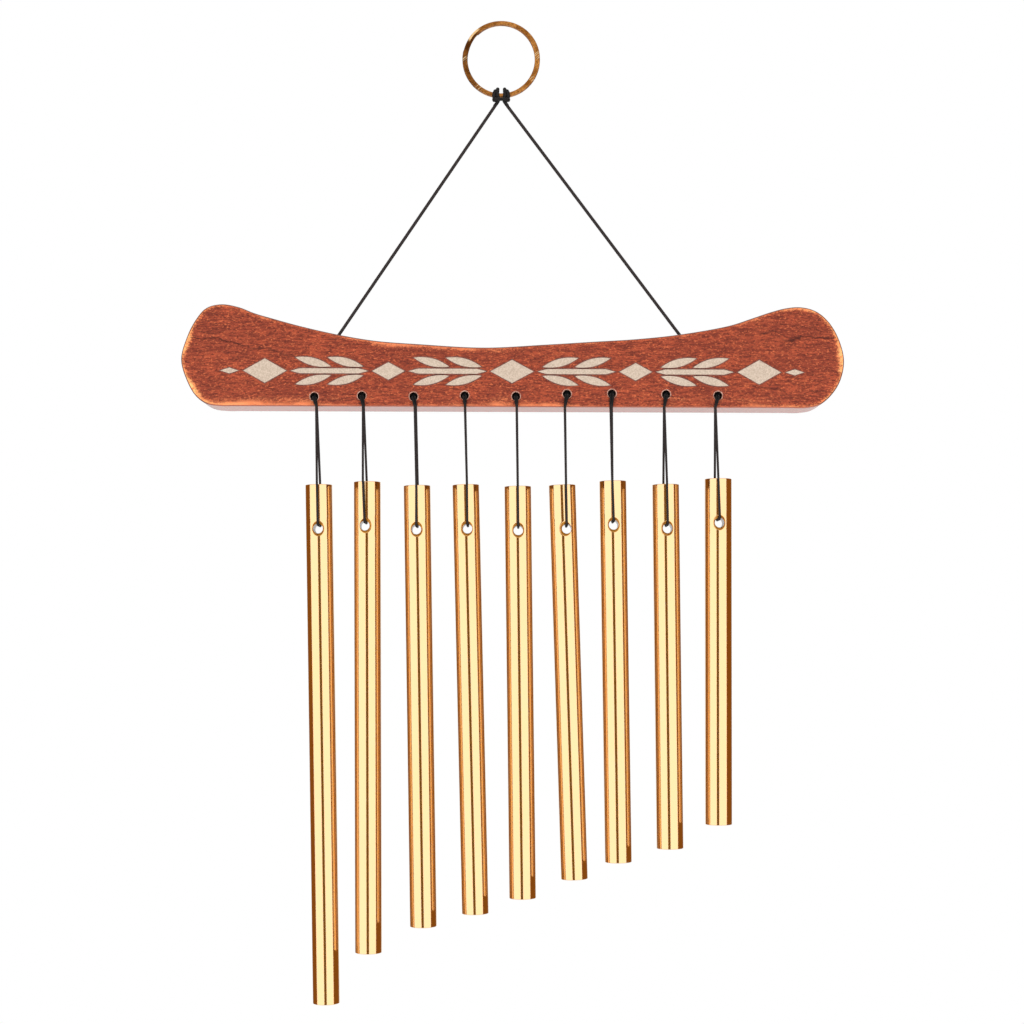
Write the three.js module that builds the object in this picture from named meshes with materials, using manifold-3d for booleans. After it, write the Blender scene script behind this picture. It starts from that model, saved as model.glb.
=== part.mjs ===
// Hand chime: nine solid rods hung on cord loops from the front of a shaped wooden bar, which hangs
// by a V of cord from a split ring. Millimetres, +Z up, front towards -Y. The origin is the top of the
// ring's inside, where the hook that holds the chime touches it.
import * as THREE from "three";
import { mergeVertices } from "three/addons/utils/BufferGeometryUtils.js";
import Module from "manifold-3d";

const wasm = await Module();
wasm.setup();

// Split ring: two turns of flat wire with a ramp between the layers
const ringOuter = 28.8;
const ringRadial = 2.0;
const ringWire = 1.25;
const ringGap = 0.42;
const ringChamfer = 0.3;
const ringRampFrom = 135;
const ringRampTo = 165;
const ringStep = 9;

// Hanger cord, its hitch on the ring and its ends in the bar
const hangerCord = 1.05;
const hitchSelfGap = 0.75;
const hitchLegX = 1.3;
const hitchExitX = 1.76;
const hitchExitDrop = 4.6;
const hitchBridgeY = 3.9;
const hitchBridgeDrop = 2.5;
const hangerGap = 0.65;
const hangerHoleSlack = 0.8;
const hangerHoleDepth = 13;

// Bar: its front face stands a little in front of the plane of the V, so that the rods hang
// almost straight under the V
const barLength = 246.8;
const barHeight = 37.9;
const barThickness = 18;
const barFaceOut = 2.5;
const barRound = 1.0;
const barCentreX = 4.0;
const barDrop = 142.8;
const barTilt = 0.2;
const barHoleSlack = 1.73;
const barHoleDepth = 11;
const barHoleFlare = 0.35;
const hangerEntryShares = [-0.2626, 0.2537];

// Round its outline from the lower left corner: shares of its length from its middle, and of its
// height from its underside
const barOutlineShares = [
  [-0.4388, 0], [-0.4603, 0.0211], [-0.4765, 0.095], [-0.4899, 0.2401], [-0.4992, 0.4565],
  [-0.4907, 0.6728], [-0.4781, 0.8391], [-0.4619, 0.9604], [-0.4396, 1], [-0.4133, 0.9736],
  [-0.3886, 0.9129], [-0.3635, 0.8654], [-0.3201, 0.7889], [-0.2618, 0.7045], [-0.2066, 0.6464],
  [-0.141, 0.6148], [-0.0425, 0.5831], [0.0515, 0.6148], [0.1207, 0.6438], [0.1896, 0.6728],
  [0.2524, 0.7177], [0.3282, 0.8074], [0.363, 0.8813], [0.3906, 0.942], [0.4145, 0.9815],
  [0.4364, 0.9894], [0.4583, 0.9499], [0.4777, 0.8443], [0.4927, 0.6781], [0.5008, 0.4644],
  [0.4947, 0.2612], [0.4806, 0.1187], [0.4627, 0.0264], [0.4412, 0], [0.415, 0], [0, 0],
  [-0.415, 0],
];

// Chimes. Each row gives the rod's length as a share of the longest one's, the loop's hole in the
// bar's front as shares of the bar's length and height, the place where the loop passes the bar's
// lower edge as a share of its length, the rod's cross bore as a share of the bar's length and of the
// first bore's drop under the bar, and how far the rod leans to the right, in degrees.
const rodLongest = 192.5;
const rodDrop = 45.5;
const rodAcross = 10;
const rodChamfer = 0.5;
const rodBoreAcross = 3.6;
const rodBoreDrop = 16.4;
const rodFlareAcross = 5.6;
const rodFlareDepth = 0.75;
const loopCord = 0.66;
const loopBend = 1.4;
const loopPlugIn = 1.5;
const loopPlugLength = 3.4;
const chimeShares = [
  { rod: 1, hole: [-0.2982, 0.095], seam: -0.2942, bore: [-0.2897, 1], lean: 0.83 },
  { rod: 0.9081, hole: [-0.2265, 0.1055], seam: -0.2237, bore: [-0.2176, 0.9692], lean: 0.15 },
  { rod: 0.8504, hole: [-0.1483, 0.1003], seam: -0.1455, bore: [-0.1419, 1.0066], lean: 0.83 },
  { rod: 0.827, hole: [-0.0713, 0.1108], seam: -0.0705, bore: [-0.068, 1], lean: 1.28 },
  { rod: 0.7943, hole: [0.0061, 0.1055], seam: 0.0073, bore: [0.0096, 1.0132], lean: 0.68 },
  { rod: 0.76, hole: [0.0831, 0.1293], seam: 0.0798, bore: [0.0777, 1.0022], lean: 1.79 },
  { rod: 0.7351, hole: [0.1507, 0.1346], seam: 0.1495, bore: [0.1528, 0.9692], lean: 0.85 },
  { rod: 0.7018, hole: [0.2326, 0.1293], seam: 0.2293, bore: [0.2322, 0.9978], lean: 0.7 },
  { rod: 0.6665, hole: [0.3108, 0.1187], seam: 0.3063, bore: [0.3106, 0.9516], lean: 0.08 },
];

// Fits and facets
const restGap = 0.3;
const seamGap = 0.4;
const outlineSteps = 2;
const rodSides = 28;
const boreSides = 12;
const cordSides = 8;
const hitchSides = 6;
const turnSteps = 24;
const cutPast = 1;

// Materials
const finish = {
  gold: new THREE.MeshStandardMaterial({ color: 0xe8a54a, roughness: 0.22, metalness: 1 }),
  ring: new THREE.MeshStandardMaterial({ color: 0xc48a3e, roughness: 0.28, metalness: 1 }),
  wood: new THREE.MeshStandardMaterial({ color: 0xa04a30, roughness: 0.55, metalness: 0 }),
  cord: new THREE.MeshStandardMaterial({ color: 0x26221f, roughness: 0.85, metalness: 0 }),
};

const part = new THREE.Group();
const place = (name, geometry, material, holder = part) => {
  const mesh = new THREE.Mesh(geometry, material);
  mesh.name = name;
  holder.add(mesh);
  return mesh;
};
const vec = (x, y, z) => new THREE.Vector3(x, y, z);
const radians = THREE.MathUtils.degToRad;

// Closed three.js geometry to a solid for cutting and joining, and back
function solidOf(geometry) {
  const bare = geometry.clone();
  bare.deleteAttribute("normal");
  bare.deleteAttribute("uv");
  const merged = mergeVertices(bare, 1e-4);
  const vertProperties = merged.attributes.position.array;
  const triVerts = new Uint32Array(merged.index.array);
  return new wasm.Manifold(new wasm.Mesh({ numProp: 3, vertProperties, triVerts }));
}

function geometryOf(solid) {
  const mesh = solid.getMesh();
  const geometry = new THREE.BufferGeometry();
  geometry.setAttribute("position", new THREE.BufferAttribute(mesh.vertProperties, 3));
  geometry.setIndex(new THREE.BufferAttribute(mesh.triVerts, 1));
  geometry.computeVertexNormals();
  return geometry;
}

// Round body from a profile of [radius, height] pairs that starts and ends on the axis, along +Z
function turned(profile, sides) {
  const points = profile.map(([radius, height]) => new THREE.Vector2(radius, height));
  return new THREE.LatheGeometry(points, sides).rotateX(Math.PI / 2);
}

// Cord route with one step from each point to the next, so that its bends get close steps and
// its straight stretches long ones
class Route extends THREE.CatmullRomCurve3 {
  constructor(points) {
    super(points, false, "catmullrom", 0.3);
  }
  getPointAt(share, target) {
    return this.getPoint(share, target);
  }
  getTangentAt(share, target) {
    return this.getTangent(share, target);
  }
}

function tubeOn(path, across, sides, steps) {
  const section = new THREE.Shape(
    Array.from({ length: sides }, (_, i) => {
      const turn = (2 * Math.PI * i) / sides;
      return new THREE.Vector2(Math.cos(turn), Math.sin(turn)).multiplyScalar(across / 2);
    }),
  );
  return new THREE.ExtrudeGeometry(section, { steps, extrudePath: path, curveSegments: 1 });
}

// Least gap of a cord to itself: the nearest two points of its centreline that lie further
// apart along it than half a turn of a tight bend, less its diameter
function selfGap(path, across, samples) {
  const points = path.getSpacedPoints(samples);
  const skip = Math.ceil((2.5 * across) / (path.getLength() / samples));
  let least = Infinity;
  for (let i = 0; i < points.length; i++) {
    for (let j = i + skip; j < points.length; j++) {
      least = Math.min(least, points[i].distanceTo(points[j]));
    }
  }
  return least - across;
}

// Split ring
const ringInner = ringOuter - 2 * ringRadial;
const ringCentreZ = -ringInner / 2;
const ringMiddle = (ringInner + ringRadial) / 2;
const ringLayer = (ringWire + ringGap) / 2;

function splitRing() {
  const [w, h, c] = [ringRadial / 2, ringWire / 2, ringChamfer];
  const section = [
    [w, c - h], [w, h - c], [w - c, h], [c - w, h], [-w, h - c], [-w, c - h], [c - w, -h], [w - c, -h],
  ];
  const layerTurn = 360 - (ringRampTo - ringRampFrom);
  const turns = 2 * layerTurn + (ringRampTo - ringRampFrom);
  const rings = Math.round(turns / ringStep);
  const middles = [];
  const positions = [];
  for (let i = 0; i <= rings; i++) {
    const along = (turns * i) / rings;
    const angle = radians(ringRampTo + along);
    const ramp = THREE.MathUtils.smoothstep(along, layerTurn, layerTurn + ringRampTo - ringRampFrom);
    const y = ringLayer * (2 * ramp - 1);
    middles.push(vec(ringMiddle * Math.cos(angle), y, ringMiddle * Math.sin(angle)));
    for (const [out, across] of section) {
      const radius = ringMiddle + out;
      positions.push(radius * Math.cos(angle), y + across, ringCentreZ + radius * Math.sin(angle));
    }
  }
  let least = Infinity;
  middles.forEach((a, i) =>
    middles.slice(i + 4).forEach((b) => {
      if (Math.hypot(a.x - b.x, a.z - b.z) < ringWire) least = Math.min(least, Math.abs(a.y - b.y));
    }),
  );
  console.log("split ring, least gap to itself " + (least - ringWire).toFixed(2) + " mm");
  const sides = section.length;
  const faces = [];
  for (let i = 0; i < rings; i++) {
    for (let j = 0; j < sides; j++) {
      const a = i * sides + j;
      const b = i * sides + ((j + 1) % sides);
      faces.push(a, b, a + sides, b, b + sides, a + sides);
    }
  }
  for (let j = 1; j < sides - 1; j++) {
    faces.push(0, j + 1, j);
    const last = rings * sides;
    faces.push(last, last + j, last + j + 1);
  }
  const geometry = new THREE.BufferGeometry();
  geometry.setAttribute("position", new THREE.Float32BufferAttribute(positions, 3));
  geometry.setIndex(faces);
  return geometry;
}

// Lark's head on the ring's lowest point. Each leg goes up the ring's front, over it, down its back
// and forward under it, and the bridge between the two sides crosses in front of the legs.
const hitchStandOff = restGap + hangerCord / 2;
const hitchHalfY = ringLayer + ringWire / 2 + hitchStandOff;
const hitchHalfZ = ringRadial / 2 + hitchStandOff;
const hitchPitch = hangerCord + hitchSelfGap;

// Place on the bent ring of a point given by its way along the wire from the ring's lowest point,
// its place across the layers and its height towards the ring's centre
function onRing(along, y, height) {
  const angle = along / ringMiddle;
  const radius = ringMiddle - height;
  return vec(radius * Math.sin(angle), y, ringCentreZ - radius * Math.cos(angle));
}

const hitchExit = onRing(hitchExitX, 0, -hitchExitDrop);

function hitchPath() {
  // Sideways place of the winding by its angle round the ring, in shares of the pitch
  const spread = [[-30, 0], [0, 0], [90, 0.2], [180, 0.6], [270, 1]];
  const shareAt = (angle) => {
    const k = Math.max(1, spread.findIndex(([a]) => a >= angle));
    const [[a0, s0], [a1, s1]] = [spread[k - 1], spread[k]];
    return s0 + ((s1 - s0) * (angle - a0)) / (a1 - a0);
  };
  const squared = (value) => Math.sign(value) * Math.abs(value) ** 0.6;
  const side = [
    vec(hitchExitX, 0, -hitchExitDrop), vec(hitchExitX - 0.17, 0, -0.93 * hitchExitDrop),
    vec(hitchLegX + 0.12, -0.3 * hitchHalfY, -0.78 * hitchExitDrop),
    vec(hitchLegX + 0.03, -0.75 * hitchHalfY, -0.61 * hitchExitDrop), vec(hitchLegX, -hitchHalfY - 0.12, -1.9),
  ];
  for (let angle = -15; angle <= 270; angle += 15) {
    const x = hitchLegX + hitchPitch * shareAt(angle);
    const y = -hitchHalfY * squared(Math.cos(radians(angle)));
    const z = hitchHalfZ * squared(Math.sin(radians(angle)));
    side.push(vec(x, y, z));
  }
  const outer = hitchLegX + hitchPitch;
  side.push(vec(outer - 0.05, -0.6 * hitchHalfY, -hitchHalfZ - 0.3));
  side.push(vec(outer - 0.45, -1.2 * hitchHalfY, -hitchHalfZ - 0.5));
  side.push(vec(0.55 * outer, -0.98 * hitchBridgeY, -hitchBridgeDrop - 0.1));
  const left = side.map((p) => onRing(-p.x, p.y, p.z));
  const right = side.map((p) => onRing(p.x, p.y, p.z)).reverse();
  const middle = onRing(0, -hitchBridgeY, -hitchBridgeDrop);
  return new THREE.CatmullRomCurve3([...left, middle, ...right], false, "centripetal");
}

function ringHitch() {
  const path = hitchPath();
  console.log("ring hitch, least gap to itself " + selfGap(path, hangerCord, 700).toFixed(2) + " mm");
  return tubeOn(path, hangerCord, hitchSides, 4 * turnSteps);
}

// Sizes worked out from the shares
const barOutline = barOutlineShares.map(([along, up]) => [along * barLength, up * barHeight]);
const hangerEntryX = hangerEntryShares.map((along) => along * barLength);
const chimes = chimeShares.map(({ rod, hole, seam, bore, lean }) => ({
  length: rod * rodLongest,
  holeX: hole[0] * barLength,
  holeZ: hole[1] * barHeight,
  seamX: seam * barLength,
  boreX: bore[0] * barLength,
  boreDrop: bore[1] * rodDrop,
  lean,
}));

// Bar, in its own frame: X along it from its middle, Z up from its underside
const barPlace = new THREE.Matrix4()
  .makeRotationY(radians(barTilt))
  .setPosition(barCentreX, 0, -barDrop);
const fromBar = (x, y, z) => vec(x, y, z).applyMatrix4(barPlace);
const outlineCurve = new THREE.CatmullRomCurve3(barOutline.map(([x, z]) => vec(x, 0, z)), true);
const outlinePoints = outlineCurve.getPoints(barOutline.length * outlineSteps).slice(1);

// Height of the bar's top edge at a place along it
function topHeight(x) {
  let height = 0;
  outlinePoints.forEach((a, i) => {
    const b = outlinePoints[(i + 1) % outlinePoints.length];
    if ((a.x - x) * (b.x - x) > 0 || a.x === b.x) return;
    height = Math.max(height, a.z + ((b.z - a.z) * (x - a.x)) / (b.x - a.x));
  });
  return height;
}

const hangerHole = hangerCord + hangerHoleSlack;
const barHoleAcross = 2 * loopCord + barHoleSlack;

function bar() {
  const shape = new THREE.Shape(outlinePoints.map((p) => new THREE.Vector2(p.x, p.z)));
  const body = new THREE.ExtrudeGeometry(shape, {
    depth: barThickness - 2 * barRound,
    bevelThickness: barRound,
    bevelSize: barRound,
    bevelOffset: -barRound,
    bevelSegments: 2,
    steps: 1,
  });
  body.rotateX(Math.PI / 2).translate(0, barThickness - barRound - barFaceOut, 0);
  let solid = solidOf(body);
  const radius = barHoleAcross / 2;
  const cutter = turned(
    [
      [0, barFaceOut - barHoleDepth], [radius, barFaceOut - barHoleDepth],
      [radius, barFaceOut - barHoleFlare], [radius + barHoleFlare + cutPast, barFaceOut + cutPast],
      [0, barFaceOut + cutPast],
    ],
    boreSides,
  ).rotateX(Math.PI / 2);
  for (const { holeX, holeZ } of chimes) {
    solid = solid.subtract(solidOf(cutter.clone().translate(holeX, 0, holeZ)));
  }
  for (const x of hangerEntryX) {
    const top = topHeight(x);
    const flare = hangerHole / 4;
    const hole = turned(
      [
        [0, top - hangerHoleDepth], [hangerHole / 2, top - hangerHoleDepth],
        [hangerHole / 2, top - flare], [hangerHole / 2 + 2 * flare, top + flare], [0, top + flare],
      ],
      boreSides,
    );
    solid = solid.subtract(solidOf(hole.translate(x, 0, 0)));
  }
  return geometryOf(solid);
}

// Cord end inside the bar
function hangerEnd(x) {
  const cord = hangerCord / 2;
  const foot = topHeight(x) - hangerHoleDepth + restGap;
  const head = topHeight(x) - seamGap;
  const profile = [[0, foot], [cord, foot], [cord, head], [0, head]];
  return turned(profile, cordSides).translate(x, 0, 0);
}

// One leg of the V, from the hitch to the bar, with a small gap before the seam at each end
function hangerLeg(side, x) {
  const from = vec(side * hitchExit.x, 0, hitchExit.z);
  const to = fromBar(x, 0, topHeight(x));
  const along = to.clone().sub(from).normalize();
  from.addScaledVector(along, hangerGap);
  to.addScaledVector(along, -hangerGap);
  return tubeOn(new THREE.LineCurve3(from, to), hangerCord, cordSides, 2);
}

// Upper end of a rod's loop, in the bar's frame: a plug in the hole, from which two strands come out
// side by side, turn down and run along the bar's front to its lower edge
const hangY = -barFaceOut - restGap - loopCord / 2;
const pairHalf = (loopCord + restGap) / 2;

function loopTop({ holeX, holeZ, seamX }) {
  const bore = (barHoleAcross / 2) * Math.cos(Math.PI / boreSides);
  const exitZ = holeZ - (bore - restGap - loopCord / 2 - pairHalf);
  const plugFace = loopPlugIn - barFaceOut;
  const radius = bore - restGap;
  const plug = turned(
    [[0, 0], [radius, 0], [radius, loopPlugLength], [0, loopPlugLength]],
    boreSides,
  );
  plug.rotateX(-Math.PI / 2).translate(holeX, plugFace, holeZ);
  const strands = [-pairHalf, pairHalf].map((off) => {
    const points = [vec(holeX + off, plugFace + loopPlugLength / 2, exitZ)];
    for (const angle of [90, 60, 30, 0]) {
      const y = hangY + loopBend * (1 - Math.cos(radians(angle)));
      points.push(vec(holeX + off, y, exitZ - loopBend * (1 - Math.sin(radians(angle)))));
    }
    points.push(vec(seamX + off, hangY, seamGap / 2));
    return solidOf(tubeOn(new Route(points), loopCord, cordSides, points.length - 1));
  });
  return geometryOf(solidOf(plug).add(strands[0]).add(strands[1]));
}

// Lower end of a rod's loop: from the bar's lower edge one strand goes down the rod's front and the
// other down its back, and they meet in the cross bore, along its top. The outer one is in front.
const cordInBore = rodBoreAcross / 2 - restGap - loopCord / 2;

function loopBottom({ seamX, boreX, boreDrop, lean }) {
  const start = fromBar(seamX, hangY, -seamGap / 2);
  const outer = Math.sign(boreX);
  const x = barCentreX + boreX;
  const z = cordInBore - barDrop - boreDrop;
  const mouth = rodAcross / 2 + restGap + loopCord / 2 - loopBend;
  const rise = rodBoreDrop - cordInBore;
  const strand = (side) => {
    const out = side * (mouth + loopBend);
    const points = [
      vec(start.x - side * outer * pairHalf, hangY, start.z),
      vec(x - rise * Math.tan(radians(lean)), hangY + out, z + rise),
      vec(x, hangY + out, z + 2 * loopBend),
    ];
    for (const angle of [0, 30, 60, 90]) {
      const y = hangY + side * (mouth + loopBend * Math.cos(radians(angle)));
      points.push(vec(x, y, z + loopBend * (1 - Math.sin(radians(angle)))));
    }
    points.splice(1, 0, points[0].clone().lerp(points[1], 0.1), points[0].clone().lerp(points[1], 0.9));
    points.push(vec(x, hangY + (side * mouth) / 2, z));
    return points;
  };
  const points = [...strand(-1), ...strand(1).reverse()];
  return tubeOn(new Route(points), loopCord, cordSides, points.length - 1);
}

// Rod along Z from its cross bore's middle, which runs along Y with a flare at each mouth
function rod({ length }) {
  const radius = rodAcross / 2;
  const top = rodBoreDrop;
  const foot = top - length;
  const body = turned(
    [
      [0, foot], [radius - rodChamfer, foot], [radius, foot + rodChamfer],
      [radius, top - rodChamfer], [radius - rodChamfer, top], [0, top],
    ],
    rodSides,
  );
  const bore = rodBoreAcross / 2;
  const slope = (rodFlareAcross / 2 - bore) / rodFlareDepth;
  const wide = rodFlareAcross / 2 + slope * cutPast;
  const cutter = turned(
    [
      [0, -radius - cutPast], [wide, -radius - cutPast], [bore, -radius + rodFlareDepth],
      [bore, radius - rodFlareDepth], [wide, radius + cutPast], [0, radius + cutPast],
    ],
    boreSides,
  ).rotateX(Math.PI / 2);
  return geometryOf(solidOf(body).subtract(solidOf(cutter)));
}

place("split_ring", splitRing(), finish.ring);
place("ring_hitch", ringHitch(), finish.cord);
place("hanger_cord_left", hangerLeg(-1, hangerEntryX[0]), finish.cord);
place("hanger_cord_right", hangerLeg(1, hangerEntryX[1]), finish.cord);

const barGroup = new THREE.Group();
barGroup.applyMatrix4(barPlace);
part.add(barGroup);
place("bar", bar(), finish.wood, barGroup);
place("hanger_end_left", hangerEnd(hangerEntryX[0]), finish.cord, barGroup);
place("hanger_end_right", hangerEnd(hangerEntryX[1]), finish.cord, barGroup);

chimes.forEach((chime, index) => {
  const number = index + 1;
  place("loop_top_" + number, loopTop(chime), finish.cord, barGroup);
  place("loop_" + number, loopBottom(chime), finish.cord);
  const body = place("rod_" + number, rod(chime), finish.gold);
  body.position.set(barCentreX + chime.boreX, hangY, -barDrop - chime.boreDrop);
  body.rotation.y = radians(-chime.lean);
});

export default part;
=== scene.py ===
import math

import bmesh
import bpy
import numpy as np
from mathutils.geometry import delaunay_2d_cdt
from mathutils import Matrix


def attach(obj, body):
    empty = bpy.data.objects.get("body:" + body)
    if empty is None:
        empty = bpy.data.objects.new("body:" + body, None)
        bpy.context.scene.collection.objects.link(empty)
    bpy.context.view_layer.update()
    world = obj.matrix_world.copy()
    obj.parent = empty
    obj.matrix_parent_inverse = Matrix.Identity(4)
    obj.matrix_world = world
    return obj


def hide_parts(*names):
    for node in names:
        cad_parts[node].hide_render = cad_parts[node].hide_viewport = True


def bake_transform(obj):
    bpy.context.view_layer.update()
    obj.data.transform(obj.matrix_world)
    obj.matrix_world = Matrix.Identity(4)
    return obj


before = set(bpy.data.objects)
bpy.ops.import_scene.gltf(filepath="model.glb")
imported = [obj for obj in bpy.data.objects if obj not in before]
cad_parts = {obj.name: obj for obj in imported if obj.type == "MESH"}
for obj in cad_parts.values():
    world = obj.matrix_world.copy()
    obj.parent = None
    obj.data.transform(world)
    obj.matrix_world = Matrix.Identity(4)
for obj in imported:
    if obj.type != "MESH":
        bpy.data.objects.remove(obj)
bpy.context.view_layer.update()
scene = bpy.context.scene
mm = 0.001
quarter = math.pi / 2


def placed(name, data, spot=(0, 0, 0), turn=(0, 0, 0)):
    # an object of its data, at a spot in metres and turned in radians
    made = bpy.data.objects.new(name, data)
    made.location, made.rotation_euler = spot, turn
    scene.collection.objects.link(made)
    return made


# Camera: level, at the height of the rods' upper part, with its view shifted up

camera = {"distance": 700.0, "across": 4.04, "eyeHeight": -222.1}  # in mm
lens = {"lens": 66.2, "sensor_width": 36, "shift_y": 0.1055, "clip_start": 0.02, "clip_end": 40}
hangY = -3.13  # the plane that the rods hang in, mm

cameraData = bpy.data.cameras.new("camera")
for key, value in lens.items():
    setattr(cameraData, key, value)
eye = (camera["across"] * mm, (hangY - camera["distance"]) * mm, camera["eyeHeight"] * mm)
scene.camera = placed("camera", cameraData, eye, (quarter, 0, 0))
scene.view_settings.view_transform = "Standard"
print("camera set")


# Shader building

class Sock:
    # an output socket that can be added, multiplied and so on, one Math node for each sign
    def __init__(self, tree, out):
        self.tree, self.out = tree, out

    def math(self, operation, first, second=None):
        node = self.tree.nodes.new("ShaderNodeMath")
        node.operation = operation
        for slot, value in zip(node.inputs, (first, second)):
            if isinstance(value, Sock):
                self.tree.links.new(value.out, slot)
            elif value is not None:
                slot.default_value = value
        return Sock(self.tree, node.outputs[0])

    def __add__(self, other): return self.math("ADD", self, other)
    def __radd__(self, other): return self.math("ADD", other, self)
    def __sub__(self, other): return self.math("SUBTRACT", self, other)
    def __rsub__(self, other): return self.math("SUBTRACT", other, self)
    def __mul__(self, other): return self.math("MULTIPLY", self, other)
    def __rmul__(self, other): return self.math("MULTIPLY", other, self)
    def __truediv__(self, other): return self.math("DIVIDE", self, other)
    def __pow__(self, other): return self.math("POWER", self, other)
    def __abs__(self): return self.math("ABSOLUTE", self)
    def atMost(self, other): return self.math("MINIMUM", self, other)
    def atLeast(self, other): return self.math("MAXIMUM", self, other)
    def clamped(self): return self.atMost(1.0).atLeast(0.0)

    def rise(self, low, high):
        # 0 below low, 1 above high, eased between
        share = ((self - low) / (high - low)).clamped()
        return share * share * (3.0 - 2.0 * share)


class Shade:
    # one node tree, of a material or the world
    def __init__(self, owner):
        owner.use_nodes = True
        self.tree = owner.node_tree
        self.tree.nodes.clear()

    def node(self, kind, settings=None, inputs=None, output=0):
        made = self.tree.nodes.new(kind)
        for key, value in (settings or {}).items():
            setattr(made, key, value)
        for key, value in (inputs or {}).items():
            if isinstance(value, Sock):
                self.tree.links.new(value.out, made.inputs[key])
            else:
                made.inputs[key].default_value = value
        return Sock(self.tree, made.outputs[output])

    def mix(self, share, first, second):
        inputs = {0: share, 6: colourOf(first), 7: colourOf(second)}
        return self.node("ShaderNodeMix", {"data_type": "RGBA"}, inputs, 2)

    def place(self):
        return self.node("ShaderNodeTexCoord", output="Object")

    def parts(self, vector):
        node = self.tree.nodes.new("ShaderNodeSeparateXYZ")
        self.tree.links.new(vector.out, node.inputs[0])
        return [Sock(self.tree, out) for out in node.outputs]

    def stretched(self, vector, scale):
        return self.node("ShaderNodeMapping", inputs={"Vector": vector, "Scale": scale})

    def noise(self, vector, scale, detail=3.0, rough=0.5, distortion=0.0):
        inputs = {"Vector": vector, "Scale": scale, "Detail": detail, "Roughness": rough,
                  "Distortion": distortion}
        return self.node("ShaderNodeTexNoise", inputs=inputs)

    def attribute(self, name):
        return self.node("ShaderNodeAttribute", {"attribute_name": name}, output="Fac")

    def bump(self, height, distance, strength=1.0):
        inputs = {"Height": height, "Distance": distance, "Strength": strength}
        return self.node("ShaderNodeBump", inputs=inputs)

    def surface(self, **inputs):
        # Principled surface; an underscore in a name stands for a space
        names = {key.replace("_", " "): value for key, value in inputs.items()}
        shader = self.node("ShaderNodeBsdfPrincipled", inputs=names)
        self.out(shader)

    def out(self, shader, kind="ShaderNodeOutputMaterial"):
        self.tree.links.new(shader.out, self.tree.nodes.new(kind).inputs[0])


def colourOf(value):
    # a socket as it is, or a colour as it looks on a screen, 0 to 255, in the shader's own numbers
    if isinstance(value, Sock):
        return value
    share = np.array(value) / 255
    return (*np.where(share <= 0.04045, share / 12.92, ((share + 0.055) / 1.055) ** 2.4).tolist(), 1)


def finishOf(name):
    material = bpy.data.materials.new(name)
    return material, Shade(material)


def speckled(name, noise, spread, dark, pale, bump=None, **surface):
    # a finish of two colours in fine specks, with its noise's scale and detail
    material, shade = finishOf(name)
    speck = shade.noise(shade.place(), *noise)
    if bump:
        surface["Normal"] = shade.bump(speck, *bump)
    shade.surface(Base_Color=shade.mix(speck.rise(*spread), dark, pale), **surface)
    return material


# Mesh building

def gridFaces(rows, columns, wrap=False):
    # the four-sided faces between the neighbours of a grid of points, joined round if it wraps
    down = np.arange(rows - 1)[:, None] * columns
    across = np.arange(columns if wrap else columns - 1)[None, :]
    beside = (across + 1) % columns
    return np.stack([down + across, down + beside, down + columns + beside,
                     down + columns + across], axis=-1).reshape(-1, 4)


def sheet(grid, wrap=False):
    # a grid of points as a shell of points and faces
    return grid.reshape(-1, 3), [gridFaces(*grid.shape[:2], wrap)]


def fanFaces(ring, middle):
    # triangles from a ring of points to one point
    return np.stack([ring, np.roll(ring, -1), np.full(len(ring), middle)], axis=1)


def capped(rows, tips):
    # rows of points joined round into a tube, with a fan to a tip at each end
    count, sides = rows.shape[:2]
    first = np.arange(sides)
    fans = np.concatenate([fanFaces(first[::-1], count * sides),
                           fanFaces(first + (count - 1) * sides, count * sides + 1)])
    return np.concatenate([rows.reshape(-1, 3), tips]), [fans, gridFaces(count, sides, wrap=True)]


def makePiece(name, points, faceSets, materials, creaseAngle=40, slots=None, values=None):
    # points in mm; index arrays of faces, each of three or of four sides
    mesh = bpy.data.meshes.new(name)
    faces = [face for some in faceSets for face in some.tolist()]
    mesh.from_pydata((np.asarray(points) * mm).tolist(), [], faces)
    mesh.shade_smooth()
    for material in materials:
        mesh.materials.append(material)
    if slots is not None:
        mesh.polygons.foreach_set("material_index", np.asarray(slots, np.int32))
    for key, value in (values or {}).items():
        mesh.attributes.new(key, "FLOAT", "POINT").data.foreach_set("value", np.asarray(value, np.float32))
    mesh.validate()
    mesh.set_sharp_from_angle(angle=math.radians(creaseAngle))
    return placed(name, mesh)


def weld(piece, gap=0.000004):
    # points that meet within the gap, in metres, become one
    work = bmesh.new()
    work.from_mesh(piece.data)
    bmesh.ops.remove_doubles(work, verts=work.verts, dist=gap)
    bmesh.ops.recalc_face_normals(work, faces=work.faces)
    work.to_mesh(piece.data)
    work.free()


def joined(parts):
    # several shells, each of points and face sets, as one
    counts = np.cumsum([0] + [len(points) for points, _ in parts])
    sets = [faces + count for (_, faceSets), count in zip(parts, counts) for faces in faceSets]
    return np.concatenate([points for points, _ in parts]), sets


def unit(vectors):
    return vectors / np.linalg.norm(vectors, axis=-1, keepdims=True)


def leanTurn(degrees):
    # turns rows of points in the plane that faces the camera
    cosine, sine = math.cos(math.radians(degrees)), math.sin(math.radians(degrees))
    return np.array([[cosine, 0, sine], [0, 1, 0], [-sine, 0, cosine]])


def roundAxis(reach, turn, height):
    # points at turns about the upright axis, with the three spread over each other's shape
    return np.stack(np.broadcast_arrays(reach * np.cos(turn), reach * np.sin(turn), height), axis=-1)


def squarer(wave, power):
    # a sine or cosine raised to a power below 1 with its sign kept
    return np.sign(wave) * np.abs(wave) ** power


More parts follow.
